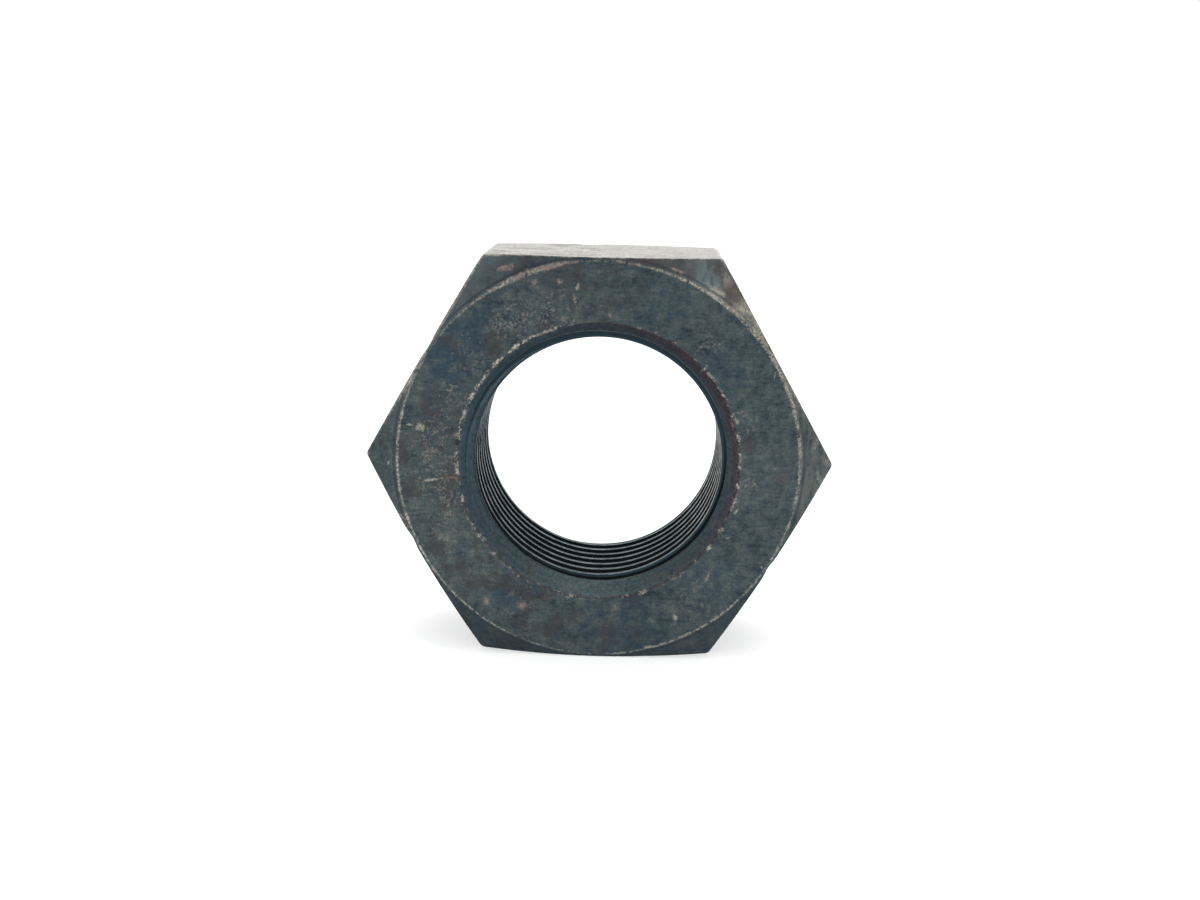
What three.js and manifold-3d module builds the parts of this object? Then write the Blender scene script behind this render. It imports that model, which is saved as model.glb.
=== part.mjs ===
// Hex nut with a fine right-hand metric thread, one piece of steel. Millimetres, +Z up.
// The nut stands on one of its flats. The thread axis runs along Y, the front face looks
// towards -Y, and the origin is on the axis, halfway between the two faces.
import * as THREE from "three";
import { mergeVertices, toCreasedNormals } from "three/addons/utils/BufferGeometryUtils.js";
import Module from "manifold-3d";

// Driving dimensions
const ACROSS_FLATS = 46; // spanner size
const THICKNESS = 18.5; // front face to back face
const CORNER_RADIUS = 0.7; // rounding of the six long edges of the hexagon bar
const FACE_CIRCLE_INSET = 0.35; // from a flat in to the circle where the corner chamfer meets a face
const CHAMFER_ANGLE = 30; // degrees between the corner chamfer and the face
const THREAD_DIAMETER = 30; // nominal, across the roots of the nut's thread
const THREAD_PITCH = 2;
const MINOR_ALLOWANCE = 0.165; // how much wider the drilled hole is than the basic minor diameter
const COUNTERSINK_ALLOWANCE = 0.9; // from the thread's roots out to the rim of the countersink
const COUNTERSINK_ANGLE = 90; // degrees, the whole cone
const FIRST_CREST_DEPTH = 3.35; // from the front face to the middle of a crest, straight below the axis

// Sizes that follow from them
const BASIC_MINOR_DIAMETER = THREAD_DIAMETER - 1.0825 * THREAD_PITCH; // ISO metric profile
const MINOR_RADIUS = (BASIC_MINOR_DIAMETER + MINOR_ALLOWANCE) / 2;
const MAJOR_RADIUS = THREAD_DIAMETER / 2;
const COUNTERSINK_RADIUS = MAJOR_RADIUS + COUNTERSINK_ALLOWANCE;
const FACE_CIRCLE_RADIUS = ACROSS_FLATS / 2 - FACE_CIRCLE_INSET;
const FLANK_ANGLE = Math.PI / 6; // half of the thread's 60 degree groove
const HALF = THICKNESS / 2;
const TURN = 2 * Math.PI;
const SEGMENTS = 72; // straight steps in one turn, shared by everything round so that edges meet
const PAST = 1; // how far a cutter runs past the face that it cuts
const SMOOTH_ANGLE = Math.PI / 12; // facets that meet at less than this are shaded as one curve

const wasm = await Module();
wasm.setup();

// A closed three.js geometry as a solid that can be joined and cut.
function solid(geometry) {
  geometry.deleteAttribute("normal");
  geometry.deleteAttribute("uv");
  const merged = mergeVertices(geometry, 1e-4);
  return new wasm.Manifold(
    new wasm.Mesh({
      numProp: 3,
      vertProperties: merged.attributes.position.array,
      triVerts: new Uint32Array(merged.index.array),
    }),
  );
}

// A solid back as a three.js geometry, shaded smooth round the bore and crisp at its edges.
function geometryOf(made) {
  const mesh = made.getMesh();
  const geometry = new THREE.BufferGeometry();
  geometry.setAttribute("position", new THREE.BufferAttribute(mesh.vertProperties, 3));
  geometry.setIndex(new THREE.BufferAttribute(mesh.triVerts, 1));
  return toCreasedNormals(geometry, SMOOTH_ANGLE);
}

// A solid turned about the thread axis from [radius, y] points that start and end on the axis.
function turned(points) {
  const profile = points.map(([radius, y]) => new THREE.Vector2(radius, y));
  return solid(new THREE.LatheGeometry(profile, SEGMENTS));
}

// The hexagon bar: six flats, one on top and one below, joined by small rounded corners.
function hexagonBar() {
  const shape = new THREE.Shape();
  const centreDistance = (ACROSS_FLATS / 2 - CORNER_RADIUS) / Math.cos(Math.PI / 6);
  for (let corner = 0; corner < 6; corner++) {
    const angle = (corner * Math.PI) / 3;
    const x = centreDistance * Math.cos(angle);
    const y = centreDistance * Math.sin(angle);
    shape.absarc(x, y, CORNER_RADIUS, angle - Math.PI / 6, angle + Math.PI / 6, false);
  }
  const bar = new THREE.ExtrudeGeometry(shape, { depth: THICKNESS, bevelEnabled: false, curveSegments: 4 });
  bar.translate(0, 0, -HALF);
  bar.rotateX(-Math.PI / 2);
  return solid(bar);
}

// The turned outline that takes the corners off both faces of the bar.
function chamferEnvelope() {
  const reach = ACROSS_FLATS; // well outside the corners
  const slope = Math.tan(THREE.MathUtils.degToRad(CHAMFER_ANGLE));
  const drop = (reach - FACE_CIRCLE_RADIUS) * slope;
  const rimLevel = Math.max(HALF - drop, 0);
  const rimRadius = FACE_CIRCLE_RADIUS + (HALF - rimLevel) / slope;
  const profile = [
    [0, -HALF],
    [FACE_CIRCLE_RADIUS, -HALF],
    [rimRadius, -rimLevel],
  ];
  if (rimLevel > 0) profile.push([rimRadius, rimLevel]);
  profile.push([FACE_CIRCLE_RADIUS, HALF], [0, HALF]);
  return turned(profile);
}

// A countersink cone, cut from the face at side * HALF down to its tip on the axis.
function countersink(side) {
  const slope = Math.tan(THREE.MathUtils.degToRad(COUNTERSINK_ANGLE / 2));
  const tip = side * (HALF - COUNTERSINK_RADIUS / slope);
  const top = side * (HALF + PAST);
  const points = [
    [0, top],
    [COUNTERSINK_RADIUS + PAST * slope, top],
    [0, tip],
  ];
  return turned(side < 0 ? points : points.reverse());
}

// What the tap takes out: the drilled hole with the helical groove round it.
// Its surface is a grid of columns. Each column holds the profile's four points for every
// pitch, and it climbs with the angle, so that the last column meets the first one pitch on.
function tap() {
  const flank = (MAJOR_RADIUS - MINOR_RADIUS) * Math.tan(FLANK_ANGLE);
  const rootFlat = THREAD_PITCH / 8;
  const crestFlat = THREAD_PITCH - rootFlat - 2 * flank;
  const profile = [
    [MINOR_RADIUS, crestFlat / 2],
    [MAJOR_RADIUS, crestFlat / 2 + flank],
    [MAJOR_RADIUS, crestFlat / 2 + flank + rootFlat],
    [MINOR_RADIUS, THREAD_PITCH - crestFlat / 2],
  ];
  const before = Math.ceil((FIRST_CREST_DEPTH + PAST) / THREAD_PITCH) + 1;
  const start = -HALF + FIRST_CREST_DEPTH - before * THREAD_PITCH;
  const turns = Math.ceil((HALF + PAST - start) / THREAD_PITCH);
  const rows = turns * profile.length;
  const positions = [];
  for (let column = 0; column <= SEGMENTS; column++) {
    const angle = (column / SEGMENTS) * TURN;
    for (let row = 0; row < rows; row++) {
      const [radius, along] = profile[row % profile.length];
      const pitches = Math.floor(row / profile.length) + column / SEGMENTS;
      const y = start + along + pitches * THREAD_PITCH;
      // clockwise from straight below the axis, as seen from the front
      positions.push(-radius * Math.sin(angle), y, -radius * Math.cos(angle));
    }
  }
  const frontHub = positions.length / 3;
  const backHub = frontHub + 1;
  const frontLevel = start + profile[0][1];
  positions.push(0, frontLevel, 0, 0, frontLevel + (turns + 1) * THREAD_PITCH, 0);
  const at = (column, row) => column * rows + row;
  const faces = [];
  for (let column = 0; column < SEGMENTS; column++) {
    for (let row = 0; row < rows - 1; row++) {
      const [a, b] = [at(column, row), at(column, row + 1)];
      const [c, d] = [at(column + 1, row + 1), at(column + 1, row)];
      faces.push(a, c, b, a, d, c);
    }
    faces.push(frontHub, at(column + 1, 0), at(column, 0));
    faces.push(backHub, at(column, rows - 1), at(column + 1, rows - 1));
  }
  // the one-pitch steps where the grid's first and last columns meet, at its two ends
  for (let row = 0; row < profile.length; row++) {
    faces.push(frontHub, at(0, row), at(0, row + 1));
    faces.push(backHub, at(SEGMENTS, rows - 1 - row), at(SEGMENTS, rows - 2 - row));
  }
  const geometry = new THREE.BufferGeometry();
  geometry.setAttribute("position", new THREE.Float32BufferAttribute(positions, 3));
  geometry.setIndex(faces);
  return solid(geometry);
}

const blank = hexagonBar().intersect(chamferEnvelope());
const bored = blank.subtract(countersink(-1)).subtract(countersink(1));
const blackenedSteel = new THREE.MeshStandardMaterial({ color: 0x4b5158, roughness: 0.45, metalness: 0.9 });
const hexNut = new THREE.Mesh(geometryOf(bored.subtract(tap())), blackenedSteel);
hexNut.name = "hex_nut";

const group = new THREE.Group();
group.add(hexNut);

export default group;
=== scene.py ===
import math

import bmesh
import bpy
import numpy as np
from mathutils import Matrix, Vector, noise


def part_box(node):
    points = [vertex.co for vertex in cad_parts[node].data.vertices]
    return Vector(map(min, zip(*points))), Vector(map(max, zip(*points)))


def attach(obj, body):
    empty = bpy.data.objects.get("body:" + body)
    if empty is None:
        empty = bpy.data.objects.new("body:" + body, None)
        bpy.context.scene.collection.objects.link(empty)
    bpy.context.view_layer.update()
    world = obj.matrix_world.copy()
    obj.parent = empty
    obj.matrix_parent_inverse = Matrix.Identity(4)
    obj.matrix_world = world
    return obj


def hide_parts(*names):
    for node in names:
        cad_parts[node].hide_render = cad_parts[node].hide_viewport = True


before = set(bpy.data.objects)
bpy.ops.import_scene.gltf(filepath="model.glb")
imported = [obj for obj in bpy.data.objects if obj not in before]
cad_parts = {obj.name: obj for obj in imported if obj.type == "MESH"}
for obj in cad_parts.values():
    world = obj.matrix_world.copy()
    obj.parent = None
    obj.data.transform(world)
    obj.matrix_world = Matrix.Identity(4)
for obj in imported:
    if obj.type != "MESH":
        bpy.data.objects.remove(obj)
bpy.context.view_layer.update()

# A blackened steel hexagon nut with a fine right-hand thread, standing on one of its flats.
# It is one piece of steel, so the sections follow the way it is made: the bar, its turned faces,
# the tapped bore, and the finish. Lengths are in millimetres until they reach an object.


# Hexagon bar
# The nut is a slice of drawn steel bar with six flats, and it stands on one of them. The bar's
# long edges are slightly round.
MM = 0.001
low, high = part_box("hex_nut")
ACROSS_FLATS = (high.z - low.z) / MM
HALF = (high.y - low.y) / 2 / MM  # half of the thickness, so the faces are at y = -HALF and y = HALF
CORNER_RADIUS = 0.7
CORNER_STEPS = 8
FLAT_STEPS = 44


def bar_outline():
    """The bar's section as [x, z] points, close together at its six corners.

    They run clockwise as seen from the front, from straight below the axis, as the thread does.
    """
    points = []
    flat_end = (ACROSS_FLATS / 2 - CORNER_RADIUS) * math.tan(math.pi / 6)
    corner_centre = (ACROSS_FLATS / 2 - CORNER_RADIUS) / math.cos(math.pi / 6)
    for side in range(6):
        facing = -math.pi / 2 - side * math.pi / 3
        across = np.array([math.cos(facing), math.sin(facing)])
        along = np.array([math.sin(facing), -math.cos(facing)])
        for step in range(FLAT_STEPS):
            points.append(ACROSS_FLATS / 2 * across + flat_end * (2 * step / FLAT_STEPS - 1) * along)
        corner = facing - math.pi / 6
        centre = corner_centre * np.array([math.cos(corner), math.sin(corner)])
        for step in range(CORNER_STEPS):
            t = facing - math.pi / 3 * step / CORNER_STEPS
            points.append(centre + CORNER_RADIUS * np.array([math.cos(t), math.sin(t)]))
    return np.roll(np.array(points), -(FLAT_STEPS // 2), axis=0)


outline = bar_outline()
bar_radius = np.hypot(outline[:, 0], outline[:, 1])
outward = outline / bar_radius[:, None]
clock = np.arctan2(-outward[:, 0], -outward[:, 1]) % (2 * math.pi)  # 0 below the axis, then to the left
clock[0] = 0.0


# Turned faces
# Both ends are faced in a lathe, a 30 degree chamfer takes the corners off down to a circle just
# inside the flats, and a 90 degree countersink opens the hole. Use has rounded the edges unevenly
# and knocked a few dents in them.
FACE_CIRCLE = ACROSS_FLATS / 2 - 0.35
CHAMFER_SLOPE = math.tan(math.radians(30))
MOUTH = 15.9  # rim of the countersink, whose sides fall as fast as they close in
THREAD_START = 0.6  # depth in the countersink where the thread's grid of points takes over
ARC_STEPS = 4
SUPPORT = 0.05  # how close a row of points lies to each rounded edge, to keep the shading crisp


def uneven(middle, spread, seed):
    """One value for each direction round the nut, wandering about the middle one."""
    waves = [noise.fractal(Vector((3 * x, 3 * z, seed)), 0.6, 2.2, 5) for x, z in outward]
    return middle * (1 + spread * np.clip(np.array(waves), -1, 1))


def rounded_path(corners, radii, line_steps):
    """Rows of points along a path with rounded corners, all directions round the nut at once.

    corners holds [radius, y] arrays, radii the rounding at each inner corner.
    """
    corners = [np.stack(np.broadcast_arrays(r, y, bar_radius)[:2], axis=1) for r, y in corners]
    rows = [corners[0]]
    last = corners[0]
    for i in range(1, len(corners)):
        before = corners[i] - corners[i - 1]
        before /= np.linalg.norm(before, axis=1)[:, None]
        arc = []
        if i < len(corners) - 1:
            after = corners[i + 1] - corners[i]
            after /= np.linalg.norm(after, axis=1)[:, None]
            turned = np.arccos(np.clip((before * after).sum(axis=1), -1, 1))
            cut = (radii[i - 1] * np.tan(turned / 2))[:, None]
            first, final = corners[i] - cut * before, corners[i] + cut * after
            for u in np.linspace(0, 1, ARC_STEPS + 1):
                arc.append((1 - u) ** 2 * first + 2 * u * (1 - u) * corners[i] + u**2 * final)
        end = arc[0] if arc else corners[i]
        length = np.linalg.norm(end - last, axis=1)[:, None]
        steps = line_steps[i - 1]
        for step in range(steps + 1):
            share = SUPPORT / length + (1 - 2 * SUPPORT / length) * step / steps
            rows.append(last + (end - last) * share)
        rows += arc
        last = arc[-1] if arc else end
    rows.append(last)
    return np.stack(rows, axis=1)


chamfer_depth = (bar_radius - FACE_CIRCLE) * CHAMFER_SLOPE
EDGE_ROUNDINGS = [
    uneven(0.16, 0.8, 1.0),
    uneven(0.5, 0.7, 2.0),
    uneven(0.14, 0.6, 3.0),
    uneven(0.14, 0.6, 4.0),
    uneven(0.5, 0.7, 5.0),
    uneven(0.16, 0.8, 6.0),
]
outside = rounded_path(
    [
        (MOUTH - THREAD_START, THREAD_START - HALF),
        (MOUTH, -HALF),
        (FACE_CIRCLE, -HALF),
        (bar_radius, chamfer_depth - HALF),
        (bar_radius, HALF - chamfer_depth),
        (FACE_CIRCLE, HALF),
        (MOUTH, HALF),
        (MOUTH - THREAD_START, HALF - THREAD_START),
    ],
    EDGE_ROUNDINGS,
    [1, 16, 5, 24, 5, 16, 1],
)


def dented(path, dents):
    """The outside path with knocks in it, each given as direction, radius, y, reach and depth.

    Directions are in degrees from the right through the top.
    """
    for direction, at_radius, at_y, reach, sink in dents:
        angle = math.radians(direction)
        centre = at_radius * np.array([math.cos(angle), math.sin(angle)])
        spot = path[:, :, :1] * outward[:, None, :] - centre
        away = np.sqrt((spot**2).sum(axis=2) + (path[:, :, 1] - at_y) ** 2)
        dip = sink * np.exp(-((away / reach) ** 2))
        path[:, :, 0] -= dip * np.where(path[:, :, 0] > FACE_CIRCLE - 1, 1, 0)
        path[:, :, 1] -= np.sign(path[:, :, 1]) * dip * np.where(abs(path[:, :, 1]) > HALF - 3, 0.6, 0)
    return path


outside = dented(
    outside,
    [
        (204, 22.8, -9.2, 0.9, 0.16),
        (146, 23.3, -8.9, 1.1, 0.12),
        (119, 26.3, -7.6, 1.2, 0.15),
        (58, 26.2, -7.7, 0.9, 0.12),
        (-31, 23.1, -9.1, 0.8, 0.12),
        (-75, 22.7, -9.2, 0.9, 0.12),
        (172, 15.9, -9.2, 0.5, 0.16),
        (-36, 15.9, -9.2, 0.5, 0.1),
        (178, 26.3, -2.0, 1.3, 0.12),
        (1, 26.3, 3.5, 1.0, 0.12),
        (61, 26.2, 2.0, 1.1, 0.12),
        (30, 23.4, 8.9, 0.9, 0.14),
        (95, 22.9, 9.1, 1.0, 0.12),
        (160, 24.0, 8.7, 1.0, 0.12),
        (242, 26.2, 6.5, 1.1, 0.14),
    ],
)


# Tapped bore
# M30 x 2: a right-hand helical groove with 60 degree sides, cut through the drilled hole by a tap,
# which leaves flat crests. The groove runs out into the countersinks.
PITCH = 2.0
MAJOR = 15.0  # radius at the bottom of the groove
MINOR = 14.0  # radius at the crests
FIRST_CREST = 3.35  # depth of a crest's middle below the front face, straight below the axis
ROOT_FLAT = PITCH / 8
FLANK = (MAJOR - MINOR) * math.tan(math.radians(30))
CREST_FLAT = PITCH - ROOT_FLAT - 2 * FLANK
SOFT = 0.09  # how gently the crest and the root turn into the groove's sides
STEPS_FROM_CREST = [0.1, 0.21, 0.28, 0.35, 0.45, 0.55, 0.65, 0.75, 0.84, 0.92]


def soft_max(a, b, width):
    """The larger of a and b, with the corner where they cross rounded over the given width."""
    share = np.clip(0.5 + 0.5 * (b - a) / width, 0, 1)
    return a * (1 - share) + b * share + width * share * (1 - share)


def bore_grid():
    """Radius and y of the bore's points: a column for each direction, and rows along the thread."""
    one_pitch = [-step for step in reversed(STEPS_FROM_CREST)] + STEPS_FROM_CREST + [PITCH / 2]
    turns_before = math.ceil((FIRST_CREST + PITCH) / PITCH)
    turns = turns_before + math.ceil((2 * HALF - FIRST_CREST + PITCH) / PITCH) + 1
    crest = FIRST_CREST - HALF + PITCH * (np.arange(turns) - turns_before)
    row_crest = np.repeat(crest, len(one_pitch))
    row_step = np.tile(one_pitch, turns)
    y = row_crest + row_step + PITCH * clock[:, None] / (2 * math.pi)
    climb = (np.abs(row_step) - CREST_FLAT / 2) / math.tan(math.radians(30))
    groove = -soft_max(-soft_max(np.zeros_like(climb), climb, SOFT), MINOR - MAJOR, SOFT)
    radius = np.broadcast_to(MINOR + groove, y.shape)
    for side in (-1, 1):
        radius = soft_max(radius, MOUTH - (HALF + side * y), SOFT)
    return radius, y, len(one_pitch)


bore_radius, bore_y, rows_per_pitch = bore_grid()


def nut_mesh():
    """The whole nut: the outside rows joined to the bore's rows at each end.

    A bore row that climbs past the thread's start at either end shares the point of the outside
    path there, so the rows end one after another and the surface stays closed.
    """
    columns, rows = outside.shape[:2]
    points = [(r * x, y, r * z) for (x, z), path in zip(outward, outside) for r, y in path]
    place = np.empty(bore_y.shape, int)
    for i in range(columns):
        for j in range(bore_y.shape[1]):
            y = bore_y[i, j]
            if y <= THREAD_START - HALF:
                place[i, j] = i * rows
            elif y >= HALF - THREAD_START:
                place[i, j] = i * rows + rows - 1
            else:
                place[i, j] = len(points)
                r = bore_radius[i, j]
                points.append((r * outward[i, 0], y, r * outward[i, 1]))
    faces = []
    for i in range(columns):
        beside = (i + 1) % columns
        for j in range(rows - 1):
            faces.append((i * rows + j, beside * rows + j, beside * rows + j + 1, i * rows + j + 1))
        shift = rows_per_pitch if beside == 0 else 0
        for j in range(bore_y.shape[1] - 1 - shift):
            here = (place[i, j], place[i, j + 1])
            across = (place[beside, j + 1 + shift], place[beside, j + shift])
            face = [int(p) for p in dict.fromkeys(here + across)]
            if len(face) > 2:
                faces.append(face)
    mesh = bpy.data.meshes.new("nut")
    mesh.from_pydata([Vector(p) * MM for p in points], [], faces)
    shell = bmesh.new()
    shell.from_mesh(mesh)
    bmesh.ops.recalc_face_normals(shell, faces=shell.faces)
    shell.to_mesh(mesh)
    shell.free()
    mesh.shade_smooth()
    return mesh


nut = bpy.data.objects.new("nut", nut_mesh())
bpy.context.scene.collection.objects.link(nut)
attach(nut, "root")
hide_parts("hex_nut")


# Black finish
# The steel is blackened in a hot salt bath, which leaves a thin blue-grey skin, stained brown where
# oil has dried. Handling has rubbed it through to pale metal along the edges, in nicks and partly
# on the thread's crests, and a spanner has rubbed the flats, the top one nearly bare. Light and
# shade are painted into the colour too: sheen on the front face, shade on the chamfer's lower half,
# in the thread's groove and beside the face circle, a highlight along the crests, and more light on
# the top flat.
finish = bpy.data.materials.new("blackened_steel")
finish.use_nodes = True
surface = finish.node_tree.nodes["Principled BSDF"]


class Shade:
    """A value in the finish's shader. Arithmetic on it adds Math nodes; node() adds any other."""

    def __init__(self, socket):
        self.socket = socket

    @classmethod
    def node(cls, kind, settings={}, inputs={}, output=0):
        """Add a node, set it up, give its inputs numbers or other values, return one output."""
        made = finish.node_tree.nodes.new("ShaderNode" + kind)
        for name, setting in settings.items():
            if name == "stops":
                for _ in setting[2:]:
                    made.color_ramp.elements.new(1.0)
                for element, (position, colour) in zip(made.color_ramp.elements, setting):
                    element.position = position
                    element.color = (*colour, 1)
            else:
                setattr(made, name, setting)
        for name, given in inputs.items():
            cls.feed(made.inputs[name], given)
        return cls(made.outputs[output])

    @classmethod
    def feed(cls, socket, given):
        if isinstance(given, cls):
            finish.node_tree.links.new(given.socket, socket)
        else:
            socket.default_value = given

    @classmethod
    def maths(cls, operation, *given):
        return cls.node("Math", {"operation": operation}, dict(enumerate(given)))

    def __add__(self, other):
        return Shade.maths("ADD", self, other)

    def __radd__(self, other):
        return Shade.maths("ADD", other, self)

    def __sub__(self, other):
        return Shade.maths("SUBTRACT", self, other)

    def __rsub__(self, other):
        return Shade.maths("SUBTRACT", other, self)

    def __mul__(self, other):
        return Shade.maths("MULTIPLY", self, other)

    def __rmul__(self, other):
        return Shade.maths("MULTIPLY", other, self)

    def __truediv__(self, other):
        return Shade.maths("DIVIDE", self, other)

    def __abs__(self):
        return Shade.maths("ABSOLUTE", self)


def larger(a, b):
    return Shade.maths("MAXIMUM", a, b)


def smaller(a, b):
    return Shade.maths("MINIMUM", a, b)


def distance(a, b):
    return Shade.maths("SQRT", a * a + b * b)


def ramp(value, start, end):
    """0 up to start, 1 from end on, and a smooth rise between; end may be the smaller number."""
    limits = {"Value": value, "From Min": start, "From Max": end}
    return Shade.node("MapRange", {"interpolation_type": "SMOOTHSTEP"}, limits)


def mix(under, over, share):
    """The colour under, covered to the given share by the colour over."""
    under, over = (c if isinstance(c, Shade) else (*c, 1) for c in (under, over))
    return Shade.node("Mix", {"data_type": "RGBA"}, {0: share, 6: under, 7: over}, output=2)


on_nut = Shade.node("TexCoord", output="Object")
millimetres = Shade.node("VectorMath", {"operation": "SCALE"}, {0: on_nut, "Scale": 1 / MM})
x, y, z = (Shade.node("SeparateXYZ", inputs={0: millimetres}, output=axis) for axis in "XYZ")


def grain(size, seed, detail=3.0, roughness=0.55, squash=(1, 1, 1)):
    """Noise from 0 to 1 in spots about size millimetres across, a different pattern for each seed."""
    start = (seed * 7.3, seed * 3.1, seed * 5.7)
    place = Shade.node("Mapping", {}, {"Vector": millimetres, "Location": start, "Scale": squash})
    pattern = {"Vector": place, "Scale": 1 / size, "Detail": detail, "Roughness": roughness}
    return Shade.node("TexNoise", {}, pattern)


radius = distance(x, z)
depth = HALF - abs(y)  # below the nearer end face
front = ramp(y, 3.7 - HALF, 2.2 - HALF)  # the front face, its chamfer and the start of the bore
compass = Shade.maths("FRACT", Shade.maths("ARCTAN2", z, x) / (2 * math.pi) + 1)  # in whole turns


def round_the_nut(stops):
    """A value for each direction in degrees, counted from the right through the top."""
    around = [(degrees / 360, (value,) * 3) for degrees, value in stops]
    return Shade.node("ValToRGB", {"stops": around}, {0: compass})


# How far a point is from each kind of surface and edge, in millimetres.
COS_30 = math.cos(math.radians(30))
to_flats = [abs(z), abs(z * 0.5 + x * COS_30), abs(z * 0.5 - x * COS_30)]
outermost = larger(larger(to_flats[0], to_flats[1]), to_flats[2])
innermost = smaller(smaller(to_flats[0], to_flats[1]), to_flats[2])
second = to_flats[0] + to_flats[1] + to_flats[2] - outermost - innermost
inside_flat = ACROSS_FLATS / 2 - outermost
beyond_bend = depth - (radius - FACE_CIRCLE) * CHAMFER_SLOPE
circle_gap = distance(radius - FACE_CIRCLE, depth)
mouth_gap = distance(radius - MOUTH, depth)
bend_gap = larger(inside_flat, abs(beyond_bend))
long_edge_gap = (outermost - second) / COS_30 + inside_flat

on_flat = ramp(inside_flat, 0.34, 0.26) * ramp(beyond_bend, 0.02, 0.07)
in_bore = ramp(radius, MOUTH + 0.05, MOUTH - 0.1)
in_cone = in_bore * ramp(abs(radius + depth - MOUTH), 0.16, 0.06)
in_thread = in_bore * (1 - in_cone)
on_chamfer = ramp(radius, FACE_CIRCLE + 0.02, FACE_CIRCLE + 0.15) * (1 - on_flat)

clouds = grain(7.0, 1, 2)
mottle = grain(1.6, 2, 8, 0.74)
specks = grain(0.4, 3, 5, 0.75)
flecks = grain(0.28, 15, 4, 0.7)
ragged = grain(0.5, 5, 4, 0.7) - 0.5
broken = grain(1.1, 11, 5, 0.75)


def spots(places):
    """Soft round spots on the front, each given as x, z, the distance it reaches, its strength."""
    together = 0.0
    for at_x, at_z, reach, strength in places:
        together = together + strength * ramp(distance(x - at_x, z - at_z), reach, 0.2 * reach)
    return smaller(together, 1.0) * front


# The skin: blue-grey, navy in clouds, browned on the left, with painted sheen that makes it paler at
# the left and right, most at the lower left, and a little darker at the upper left.
streaked = grain(0.25, 16, 4, 0.65, (0.12, 1, 1))
tone = clouds * 0.13 + mottle * 0.47 + specks * 0.14 + flecks * 0.11 + streaked * 0.15
# Painted sheen: soft spots that lighten the front face's tone, and one that darkens it.
painted_sheen = spots(
    [(-17, -9, 11, 1.4), (-19, 2, 8, 0.6), (19, -1, 8, 1.1), (-15, 13, 5, -0.6), (13, -14, 7, 0.4)]
)
SKIN = [
    (0.38, (0.008, 0.014, 0.02)),
    (0.45, (0.028, 0.043, 0.052)),
    (0.51, (0.05, 0.069, 0.074)),
    (0.57, (0.078, 0.096, 0.096)),
    (0.64, (0.15, 0.152, 0.138)),
]
colour = Shade.node("ValToRGB", {"stops": SKIN}, {0: tone + 0.03 * painted_sheen})
brown_clouds = ramp(grain(3.4, 6, 6, 0.7), 0.5, 0.6) * ramp(x, 16.0, -6.0)
brown_spots = spots([(-18.0, 2.5, 5.0, 0.6), (-4.5, 21.5, 4.0, 0.9), (-16.5, -3.5, 4.0, 0.6)])
browned = smaller(brown_clouds + ramp(mottle, 0.42, 0.56) * brown_spots, 1.0)
blued = spots(
    [
        (-17.5, 11.5, 5.5, 0.9), (-13.5, 15.0, 4.0, 0.6), (3.0, -20.5, 8.0, 0.6),
        (-9.5, -15.0, 4.0, 0.7), (7.0, 18.2, 4.5, 0.5), (13.0, -13.5, 5.0, 0.6),
        (-18.5, 4.5, 3.5, 0.5), (14.0, 11.0, 4.0, 0.4),
    ]
)
colour = mix(colour, (0.024, 0.05, 0.074), 0.75 * blued * ramp(mottle, 0.62, 0.46))
colour = mix(colour, (0.058, 0.05, 0.051), 0.52 * browned)

# Pale grit, mostly in clumps on the left of the front face and thin elsewhere, and small dark pits.
clumps = spots(
    [
        (-16.6, 7.2, 3.0, 0.9), (-18.5, 2.0, 4.5, 0.9), (-17.5, -3.5, 5.0, 0.8),
        (-10.0, 15.5, 4.0, 0.9), (-5.0, 17.0, 4.5, 0.7), (-14.5, 12.0, 3.5, 0.6),
        (-18.0, -9.0, 5.0, 0.5), (-8.5, -17.5, 4.5, 0.5), (11.5, -15.5, 4.5, 0.5),
        (5.5, 14.5, 4.0, 0.3), (12.0, 13.8, 3.5, 0.55), (16.8, -1.8, 2.2, 0.7),
        (16.0, 4.5, 2.5, 0.6), (14.6, -7.0, 2.5, 0.5), (17.5, -3.0, 3.0, 0.3),
        (2.0, -18.0, 4.0, 0.3),
    ]
)
grit = ramp(flecks * 0.3 + specks * 0.3 + broken * 0.4 + 0.06 * clumps, 0.545, 0.62)
grit_colour = mix((0.14, 0.138, 0.128), (0.28, 0.24, 0.215), ramp(flecks, 0.45, 0.68))
colour = mix(colour, grit_colour, grit * (0.12 + 0.58 * clumps))
dark_pits = ramp(grain(0.35, 8, 3, 0.6), 0.36, 0.28)
colour = mix(colour, (0.012, 0.017, 0.022), 0.55 * dark_pits)

# The chamfer is a little smoother and darker all round, with painted shade over its lower half,
# most of all at the lower left; paler blue at the upper left, scuffed at the top right and stained
# brown at the top.
# Painted shade: the chamfer's lower half, which faces the floor, is darker.
painted_shade_below = ramp(z, 2.0, -16.0) * (0.3 + 0.2 * ramp(x, 2.0, -6.0))
colour = mix(colour, (0.016, 0.03, 0.042), on_chamfer * (0.1 + painted_shade_below))
upper_left = ramp(x, -8.0, -13.0) * ramp(z, 1.0, 8.0) * front
near_flat = 0.25 + 0.3 * ramp(inside_flat + 2 * ragged, 2.0, 0.3)
colour = mix(colour, (0.1, 0.125, 0.135), on_chamfer * upper_left * near_flat)
scuffed = on_chamfer * front * ramp(z, 10.0, 15.0) * ramp(x, 5.0, 11.0)
streaks = grain(1.0, 14, 6, 0.7, (1, 0.5, 0.35))
scuff = mix((0.12, 0.15, 0.155), (0.25, 0.24, 0.21), ramp(x + 5 * (mottle - 0.5), 12.2, 14.0))
colour = mix(colour, scuff, scuffed * (0.3 + 0.65 * ramp(streaks, 0.42, 0.56)))
right_corner = on_chamfer * front * ramp(x, 20.0, 23.0)
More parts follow.
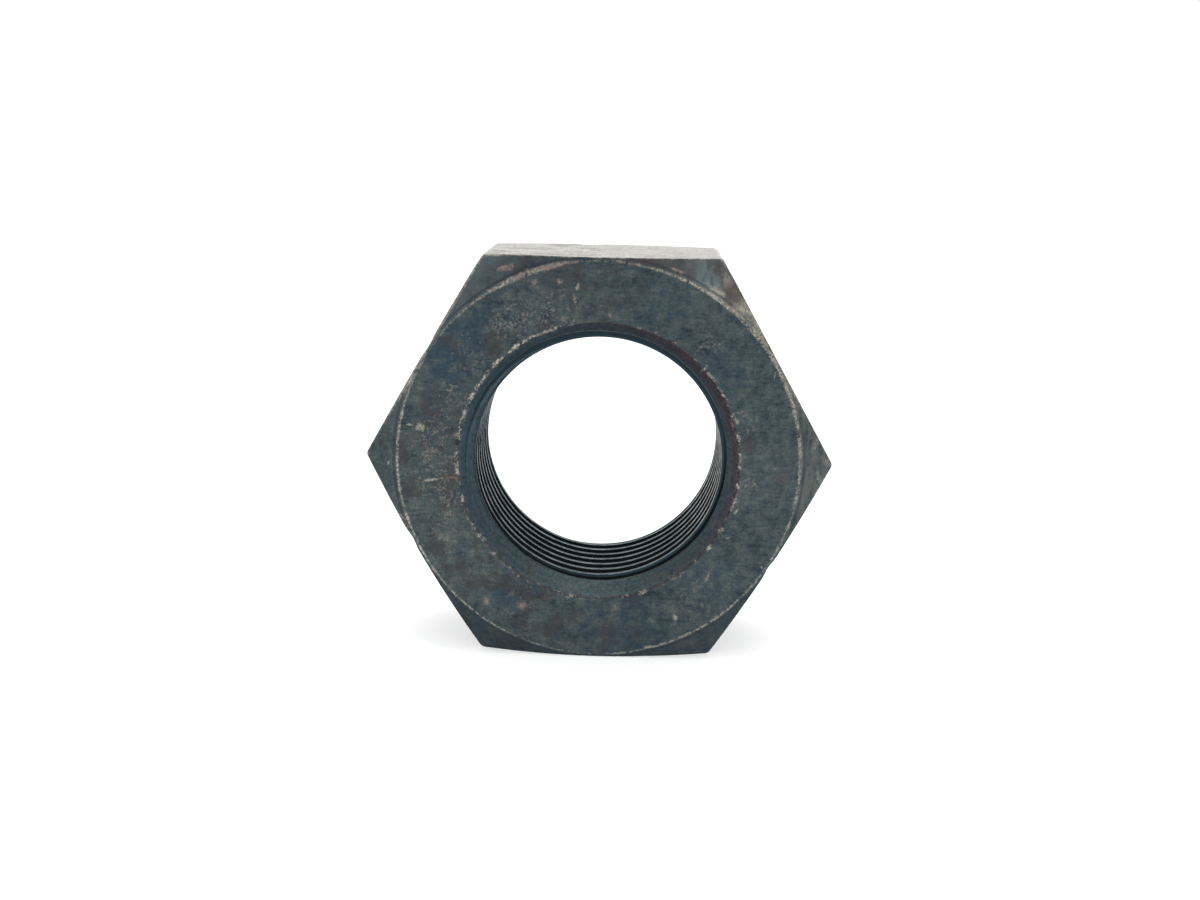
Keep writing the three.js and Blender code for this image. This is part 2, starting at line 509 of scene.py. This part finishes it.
colour = mix(colour, (0.105, 0.112, 0.1), right_corner * ramp(streaks, 0.42, 0.6) * 0.7)
corner_stain = spots([(14.6, 19.4, 2.2, 1.0), (12.9, 21.8, 1.4, 0.7)])
colour = mix(colour, (0.055, 0.042, 0.042), scuffed * corner_stain * 0.85)
top_stain = spots([(4.0, 23.0, 5.0, 0.8), (9.0, 22.5, 3.0, 0.5)])
colour = mix(colour, (0.06, 0.05, 0.052), on_chamfer * top_stain)

# The countersink is turned smooth: navy at the top and left, blue-grey below, purple on the right.
navy = round_the_nut(
    [(0, 0.5), (60, 0.7), (110, 1), (185, 1), (225, 0.3), (270, 0), (330, 0.2), (359, 0.5)]
)
cone_colour = mix((0.046, 0.07, 0.081), (0.04, 0.068, 0.089), navy)
purple = round_the_nut([(0, 1), (50, 1), (80, 0.6), (115, 0), (290, 0), (330, 0.7), (359, 1)])
purple_band = 0.85 * purple * ramp(depth + ragged * 0.4, 1.25, 0.7)
cone_colour = mix(cone_colour, (0.052, 0.045, 0.062), purple_band)
cone_colour = mix(cone_colour, (0.08, 0.09, 0.086), 0.6 * ramp(mottle, 0.47, 0.58) * (1 - navy))
rings = Shade.node("TexNoise", {"noise_dimensions": "1D"}, {"W": depth, "Scale": 5.0, "Detail": 3.0})
cone_colour = mix(cone_colour, (0.085, 0.112, 0.12), 0.55 * ramp(rings * 0.6 + specks * 0.4, 0.5, 0.6))
cone_colour = mix(cone_colour, (0.02, 0.03, 0.038), 0.5 * ramp(specks, 0.5, 0.4))
colour = mix(colour, cone_colour, in_cone)

# The thread: black in the groove, which is painted shade, dark blue on the crests, and a thin pale
# line along them, partly rubbed steel and partly painted highlight.
groove = ramp(radius, MINOR + 0.012, MINOR + 0.07)
BELOW = 0.75  # the compass straight below the axis, where FIRST_CREST is measured
turns = (y + HALF - FIRST_CREST) / PITCH + compass - BELOW
off_crest = (Shade.maths("FRACT", turns + 0.5) - 0.5) * PITCH
# A thin pale line along each crest, partly rubbed steel and partly painted highlight, paler on the
# right.
crest_wear_and_highlight = ramp(abs(off_crest + 0.17), 0.21, 0.07) * (0.4 + 0.6 * ramp(broken, 0.42, 0.58))
crest_wear_and_highlight_colour = mix((0.22, 0.262, 0.28), (0.5, 0.49, 0.44), ramp(x, 8.5, 12.5))
crest = mix((0.027, 0.052, 0.074), crest_wear_and_highlight_colour, crest_wear_and_highlight)
# Painted shade in the groove: black towards its root, more so in the lower half of the bore, and all
# black deeper than 3.4 mm.
shadowed = ramp(radius, MINOR + 0.17, MINOR + 0.32) * (0.45 + 0.55 * ramp(z, 6.0, -4.0))
dark = larger(ramp(depth, 2.7, 3.4), shadowed)
groove_shade_colour = mix((0.025, 0.048, 0.066), (0.001, 0.003, 0.005), dark)
colour = mix(colour, mix(crest, groove_shade_colour, groove), in_thread)

# The flats: lines drawn along the bar, warm bare steel on top with little blackening left, and
# grey steel elsewhere, bare at the long edges and still black in streaks between them. The top
# flat's paler colour is partly painted light from above.
lines = grain(0.3, 9, 5, 0.65, (1, 0.08, 1))
on_top = ramp(z, 22.6, 22.9)
dashes = grain(0.25, 17, 4, 0.7, (1, 0.18, 1))
grey_steel = mix((0.105, 0.113, 0.116), (0.25, 0.254, 0.244), ramp(lines, 0.3, 0.7))
# The top flat's warmer, paler steel is partly painted light from above.
warm_steel = mix((0.19, 0.182, 0.153), (0.335, 0.318, 0.257), ramp(lines, 0.3, 0.7))
bare = mix(grey_steel, warm_steel, on_top)
bare = mix(bare, (0.1, 0.1, 0.092), 0.65 * ramp(dashes, 0.5, 0.6))
blacking = grain(4.0, 10, 6, 0.7, (1, 0.25, 1)) + 0.5 * (lines - 0.5)
left_black = blacking - 0.13 * on_top - 0.14 * ramp(long_edge_gap, 4.0, 0.0) * (1 - on_top)
bare = mix(bare, (0.046, 0.057, 0.062), (0.85 - 0.45 * on_top) * ramp(left_black, 0.38, 0.54))
colour = mix(colour, bare, on_flat)

# Two purple smudges on the right of the face.
smudged = spots([(16.8, 2.6, 1.4, 0.5), (20.6, -1.2, 1.3, 0.6)]) * ramp(mottle, 0.4, 0.52)
colour = mix(colour, (0.06, 0.046, 0.056), smudged)

# Worn edges: pale metal in lines that break up and widen as they go round.
circle_wear = round_the_nut(
    [
        (0, 0.6), (18, 0.75), (30, 0.9), (56, 1), (75, 0.7), (98, 0.35), (104, 0.75), (122, 0.8),
        (134, 0.45), (150, 0.4), (165, 0.8), (200, 0.8), (240, 0.6), (262, 0.35), (286, 0.7),
        (320, 0.6), (345, 0.55), (359, 0.6),
    ]
)
circle_width = round_the_nut(
    [
        (0, 0.28), (20, 0.3), (34, 0.24), (56, 0.26), (75, 0.18), (96, 0.16), (104, 0.4), (118, 0.36),
        (128, 0.17), (150, 0.14), (170, 0.22), (200, 0.2), (240, 0.16), (330, 0.2), (359, 0.28),
    ]
)
line = ramp(circle_gap + ragged * (0.25 + circle_width), 1.15 * circle_width, circle_width * 0.25)
worn = line * circle_wear * ramp(broken * 0.6 + specks * 0.4 + 0.1 * circle_wear, 0.5, 0.58)
strip = round_the_nut([(0, 0), (14, 0.1), (24, 0.9), (46, 0.9), (50, 0.25), (58, 0), (359, 0)])
worn = larger(worn, strip * on_chamfer * front * (0.3 + 0.5 * ramp(mottle, 0.4, 0.56)))
mouth_wear = round_the_nut(
    [
        (0, 0.75), (20, 0.7), (45, 0.65), (70, 0.45), (100, 0.5), (113, 1), (150, 1), (158, 0.8),
        (192, 0.85), (225, 0.6), (250, 0.5), (285, 0.6), (300, 0.7), (330, 0.7), (345, 0.85),
        (359, 0.75),
    ]
)
mouth_breaks = ramp(broken + 0.15 * mouth_wear, 0.62, 0.67)
mouth_line = ramp(mouth_gap + ragged * 1.1, 0.34, 0.12) * mouth_breaks
stained = round_the_nut(
    [
        (0, 1), (35, 1), (80, 0.8), (104, 0.3), (115, 0), (170, 0.1), (200, 0.3), (225, 0.6),
        (300, 0.7), (330, 1), (359, 1),
    ]
)
stain_width = round_the_nut(
    [(0, 0.55), (20, 0.8), (60, 0.75), (90, 0.5), (110, 0.3), (280, 0.22), (325, 0.4), (359, 0.55)]
)
stain_band = ramp(mouth_gap + ragged * 0.5, 1.3 * stain_width, 0.6 * stain_width)
stain_band = stain_band * ramp(radius, MOUTH + 0.15, MOUTH)
stain = mix((0.03, 0.024, 0.031), (0.095, 0.068, 0.072), ramp(flecks, 0.42, 0.62))
colour = mix(colour, stain, 0.8 * stain_band * stained * front)
worn = larger(worn, mouth_line * mouth_wear)
bend_line = ramp(bend_gap + ragged * 0.25, 0.16 + 0.26 * upper_left, 0.05)
bend_line = bend_line * ramp(broken + 0.08 * upper_left, 0.42, 0.56) * ramp(z, -14.0, -4.0)
worn = larger(worn, (0.5 + 0.4 * upper_left) * bend_line)
corner_line = ramp(long_edge_gap + ragged * 0.5, 0.5, 0.15) * ramp(radius, 24, 25)
worn = larger(worn, 0.7 * corner_line * ramp(broken, 0.4, 0.55))
rubbed = spots([(-20.5, 10.0, 5.0, 1.0), (-22.5, -8.0, 3.0, 0.6)]) * ramp(inside_flat + ragged, 0.7, 0.2)
worn = larger(worn, 0.8 * rubbed * ramp(broken, 0.42, 0.55))
# Painted shade: a thin dark line on the chamfer just outside the face circle.
shade_beside_circle = ramp(abs(radius - FACE_CIRCLE - 0.45), 0.2, 0.05) * on_chamfer
colour = mix(colour, (0.02, 0.026, 0.032), 0.5 * shade_beside_circle * front)
pale = mix((0.15, 0.135, 0.115), (0.5, 0.475, 0.41), ramp(flecks, 0.38, 0.64))
colour = mix(colour, pale, 0.85 * worn)

# Nicks and smears on the front: [x, z, length, width, tilt in degrees, colour].
BONE = (0.34, 0.325, 0.27)
PINK = (0.23, 0.175, 0.158)
RUST = (0.19, 0.115, 0.08)
PIT = (0.004, 0.005, 0.007)
STEEL = (0.17, 0.175, 0.16)
for at_x, at_z, length, width, tilt, mark in [
    [-10.9, 21.5, 1.6, 0.5, 10, PINK],
    [-9.9, 21.9, 0.9, 0.5, 70, PINK],
    [-5.9, 21.8, 3.0, 0.5, 12, PINK],
    [-9.0, 20.8, 1.6, 0.4, 40, PINK],
    [-20.0, 3.7, 0.9, 0.7, -20, BONE],
    [-21.3, 3.9, 0.9, 0.25, -5, BONE],
    [-15.85, 2.1, 0.5, 0.8, 0, PIT],
    [-15.8, 2.8, 1.0, 0.2, 8, PINK],
    [-16.5, -2.1, 1.5, 0.3, -6, RUST],
    [-18.6, -2.4, 1.9, 0.22, 10, BONE],
    [-2.7, 19.7, 0.3, 0.9, -18, BONE],
    [-2.9, 18.3, 0.25, 0.9, 12, PINK],
    [-4.6, 20.3, 0.7, 0.6, 20, PINK],
    [1.0, 16.7, 0.3, 1.0, 28, PINK],
    [15.6, 6.2, 1.1, 0.2, 5, PINK],
    [15.3, 5.3, 0.25, 0.9, 25, BONE],
    [14.9, 4.7, 0.25, 1.0, 20, PINK],
    [19.3, 10.4, 0.16, 0.8, -8, BONE],
    [11.5, 11.0, 0.8, 0.2, 48, BONE],
    [18.9, -11.7, 0.7, 0.18, -20, BONE],
    [14.9, -8.3, 0.5, 0.25, 20, BONE],
    [12.9, -9.6, 0.8, 0.3, 30, BONE],
    [15.7, -5.2, 0.7, 0.3, 60, BONE],
    [9.2, -18.0, 0.6, 1.1, 12, BONE],
    [6.3, -21.6, 1.2, 0.4, 12, BONE],
    [-8.3, -17.0, 1.0, 0.8, 0, PINK],
    [-12.4, -16.8, 0.7, 1.0, 20, PINK],
    [-23.8, -0.7, 0.35, 0.35, 0, BONE],
    [12.8, -12.8, 0.4, 1.6, -20, PINK],
    [16.3, 17.3, 3.2, 0.7, -14, BONE],
    [12.6, 19.6, 2.4, 0.5, -28, BONE],
    [8.0, 21.8, 2.0, 0.3, -18, PINK],
    [25.7, 0.4, 1.6, 0.8, -40, STEEL],
    [25.2, -1.6, 0.5, 1.5, 28, STEEL],
    [24.2, 2.4, 0.6, 1.8, -30, STEEL],
    [-7.4, 20.1, 0.8, 0.35, 60, PINK],
]:
    turn = math.radians(tilt)
    along = (x - at_x) * math.cos(turn) + (z - at_z) * math.sin(turn)
    over = (z - at_z) * math.cos(turn) - (x - at_x) * math.sin(turn)
    reach = distance(along * (2 / length), (over + ragged * 0.5) * (2 / width)) + (broken - 0.5) * 5
    cover = (0.35 + 0.6 * ramp(flecks, 0.4, 0.6)) * ramp(reach, 1.4, 0.3) * front
    colour = mix(colour, mark, cover)

Shade.feed(surface.inputs["Base Color"], colour)
Shade.feed(surface.inputs["Metallic"], 0.85)
gloss = 0.5 - 0.14 * worn - 0.24 * on_flat - 0.1 * in_cone
Shade.feed(surface.inputs["Roughness"], gloss + 0.25 * (mottle - 0.5) + 0.15 * browned)

# A slight relief: soft mottling, fine tooling marks, sunk pits, and the drawn lines on the flats.
tooling = grain(0.16, 13, 2, 0.5)
relief = mottle * 0.5 + specks * 0.35 + tooling * 0.2 - dark_pits * 0.5 + lines * on_flat * 0.6
bump = Shade.node("Bump", {}, {"Strength": 0.8, "Distance": 0.04 * MM, "Height": relief})
Shade.feed(surface.inputs["Normal"], bump)
nut.data.materials.append(finish)


# Studio
# A pale floor, level with the flat that the nut stands on, under a white sky. One large soft light
# hangs overhead and a weak one stands behind.
FLOOR_HALF = 3.0  # metres
floor_corners = [
    (-FLOOR_HALF, -FLOOR_HALF, low.z),
    (FLOOR_HALF, -FLOOR_HALF, low.z),
    (FLOOR_HALF, FLOOR_HALF, low.z),
    (-FLOOR_HALF, FLOOR_HALF, low.z),
]
floor_mesh = bpy.data.meshes.new("floor")
floor_mesh.from_pydata(floor_corners, [], [(0, 1, 2, 3)])
floor = bpy.data.objects.new("floor", floor_mesh)
bpy.context.scene.collection.objects.link(floor)
floor_paint = bpy.data.materials.new("pale_floor")
floor_paint.use_nodes = True
paint = floor_paint.node_tree.nodes["Principled BSDF"]
paint.inputs["Base Color"].default_value = (0.75, 0.75, 0.75, 1)
paint.inputs["Roughness"].default_value = 0.8
paint.inputs["Emission Color"].default_value = (1, 1, 1, 1)
paint.inputs["Emission Strength"].default_value = 0.45
floor.data.materials.append(floor_paint)

world = bpy.data.worlds.new("sky")
bpy.context.scene.world = world
world.use_nodes = True
world.node_tree.nodes["Background"].inputs["Color"].default_value = (1, 1, 1, 1)
world.node_tree.nodes["Background"].inputs["Strength"].default_value = 1.0
bpy.context.scene.view_settings.view_transform = "Standard"


def softbox(name, place, size, power):
    """A square soft light, size metres wide and power watts strong, that faces the nut."""
    lamp = bpy.data.lights.new(name, "AREA")
    lamp.size = size
    lamp.energy = power
    holder = bpy.data.objects.new(name, lamp)
    holder.location = place
    holder.rotation_euler = (-Vector(place)).to_track_quat("-Z", "Y").to_euler()
    bpy.context.scene.collection.objects.link(holder)


softbox("overhead", (0.05, 0.05, 0.5), 0.5, 1.2)
softbox("behind", (0, 0.5, 0.2), 0.6, 0.3)


# Camera
# It stands in front of the nut, a little to its right and above it, and looks at a point just
# above the middle of the front face.
CAMERA_AIM = Vector((0.19, -8.91, 1.47)) * MM
CAMERA_DISTANCE = 161.4 * MM
CAMERA_SIDE = math.radians(1.42)
CAMERA_RISE = math.radians(12.70)
CAMERA_ROLL = math.radians(1.19)
camera = bpy.data.objects.new("camera", bpy.data.cameras.new("camera"))
level = math.cos(CAMERA_RISE)
look = Vector((-level * math.sin(CAMERA_SIDE), level * math.cos(CAMERA_SIDE), -math.sin(CAMERA_RISE)))
camera.location = CAMERA_AIM - CAMERA_DISTANCE * look
camera.rotation_euler = look.to_track_quat("-Z", "Y").to_euler()
camera.rotation_euler.rotate_axis("Z", CAMERA_ROLL)
camera.data.sensor_width = 36
camera.data.lens = 43.13
camera.data.clip_start = 0.01
bpy.context.scene.collection.objects.link(camera)
bpy.context.scene.camera = camera
